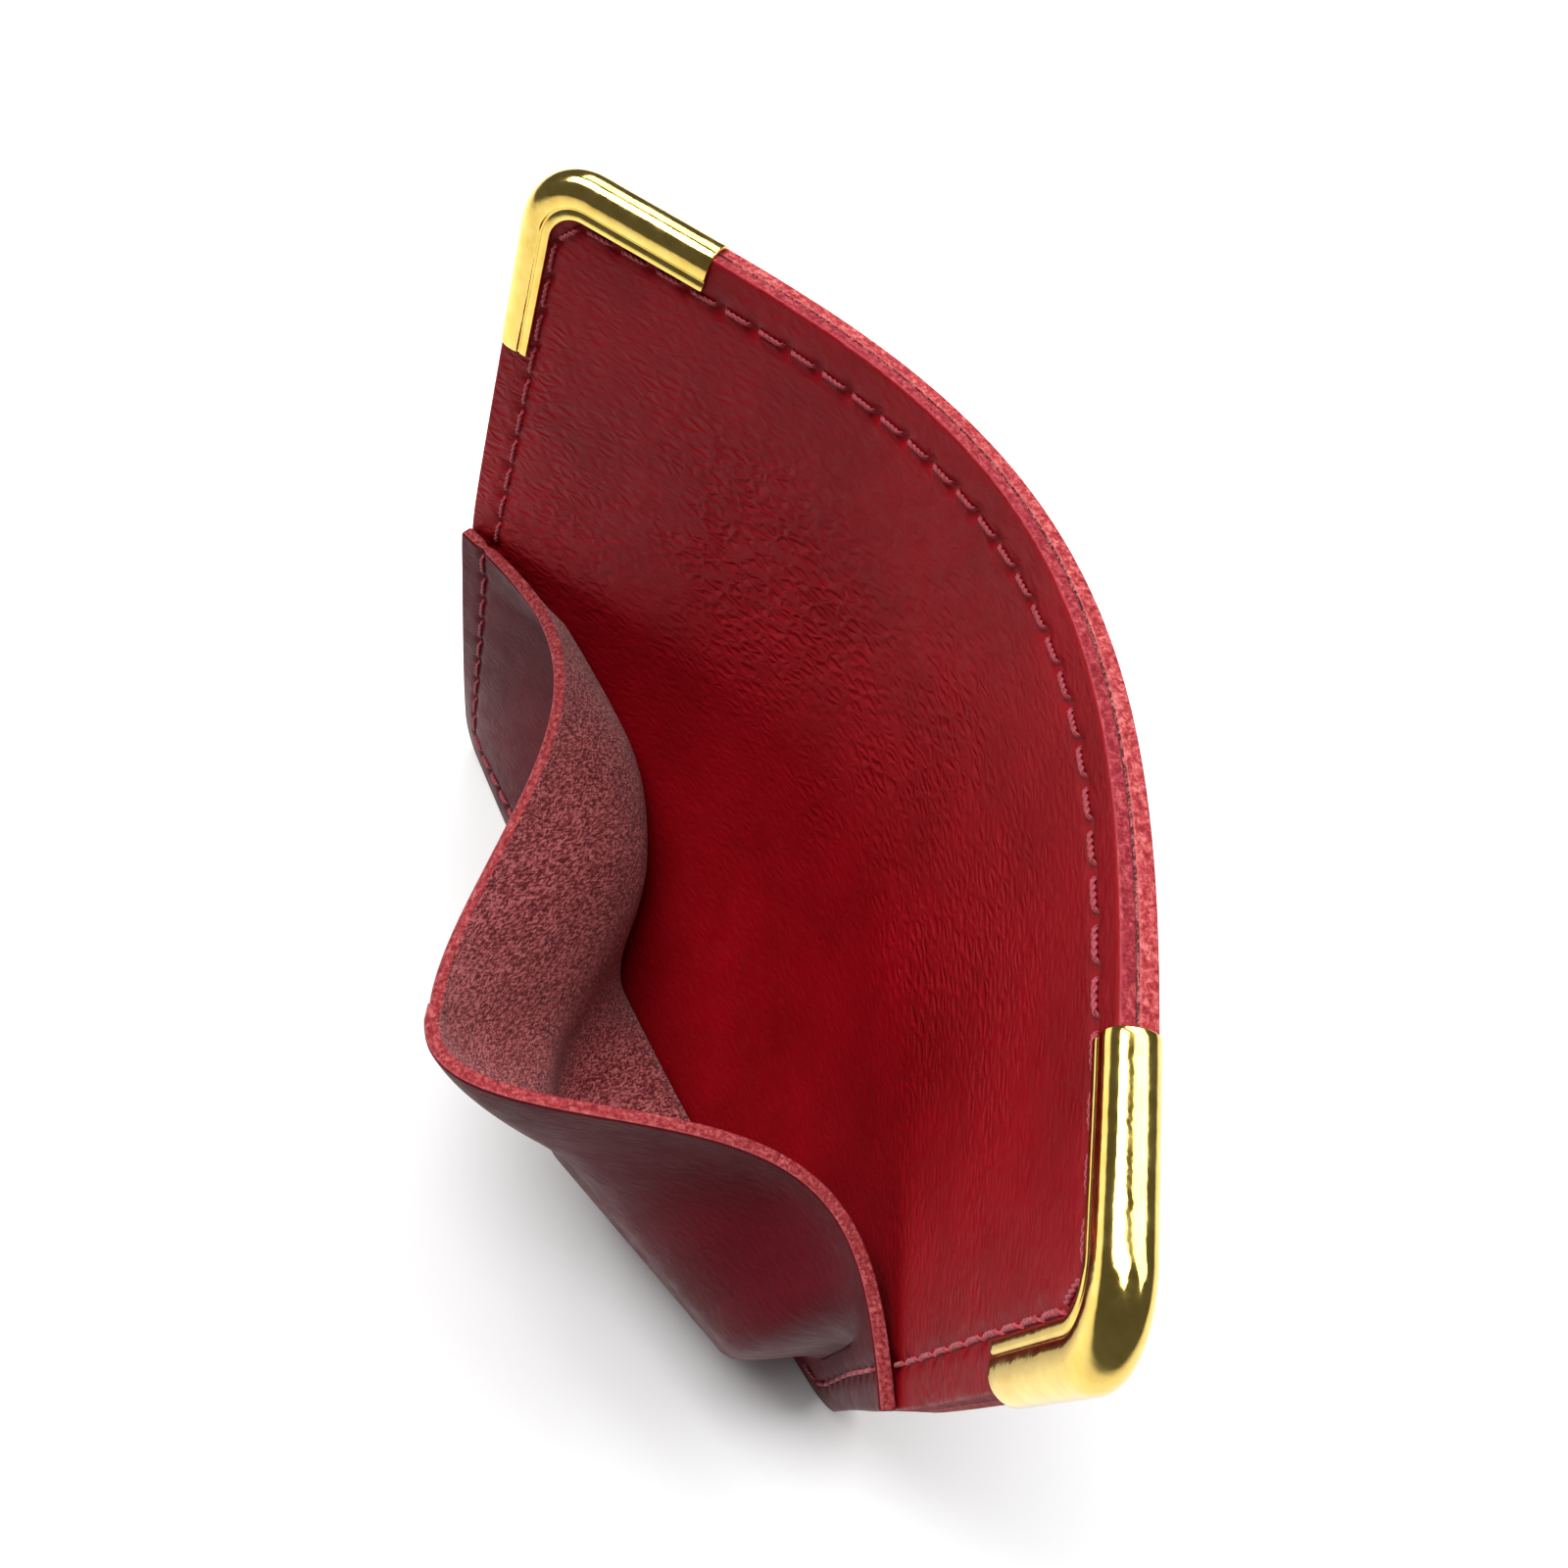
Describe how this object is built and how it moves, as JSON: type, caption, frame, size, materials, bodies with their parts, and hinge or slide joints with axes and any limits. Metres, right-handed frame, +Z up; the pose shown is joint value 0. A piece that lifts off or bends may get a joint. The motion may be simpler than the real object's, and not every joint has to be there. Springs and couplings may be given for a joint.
{
  "type": "coin purse",
  "caption": "Open-topped crimson leather coin purse with a tall stitched flap and gold-coloured metal corner guards",
  "frame": {"origin": "on the ground below the middle of the purse, level with the bottom seam's lower edge", "axes": "+X towards the purse's right end seen from its front, -Y out of the pocket's front, +Z up"},
  "size_m": [0.0904, 0.0498, 0.0661],
  "materials": {
    "outer_leather": "smooth, satin",
    "lining_leather": "fine grained, satin",
    "front_leather": "suede inside, smooth outside",
    "gold_metal": "polished gold-coloured plate",
    "red_thread": "twisted thread"
  },
  "bodies": {
    "pocket": {"back_lining": "lining_leather", "back_outer": "outer_leather", "pocket_front": "front_leather", "pocket_needle_thread": "red_thread", "pocket_bobbin_thread": "red_thread"},
    "flap": {"flap_lining": "lining_leather", "flap_outer": "outer_leather", "corner_guard_left": "gold_metal", "corner_guard_right": "gold_metal", "flap_needle_thread": "red_thread", "flap_bobbin_thread": "red_thread"}
  },
  "joints": [
    {"name": "flap_fold", "type": "hinge", "parent": "pocket", "child": "flap", "pos_m": [-0.00011, -0.00646, 0.03388], "axis": [0.9978, -0.0667, 0], "range_deg": [0, 90]}
  ]
}
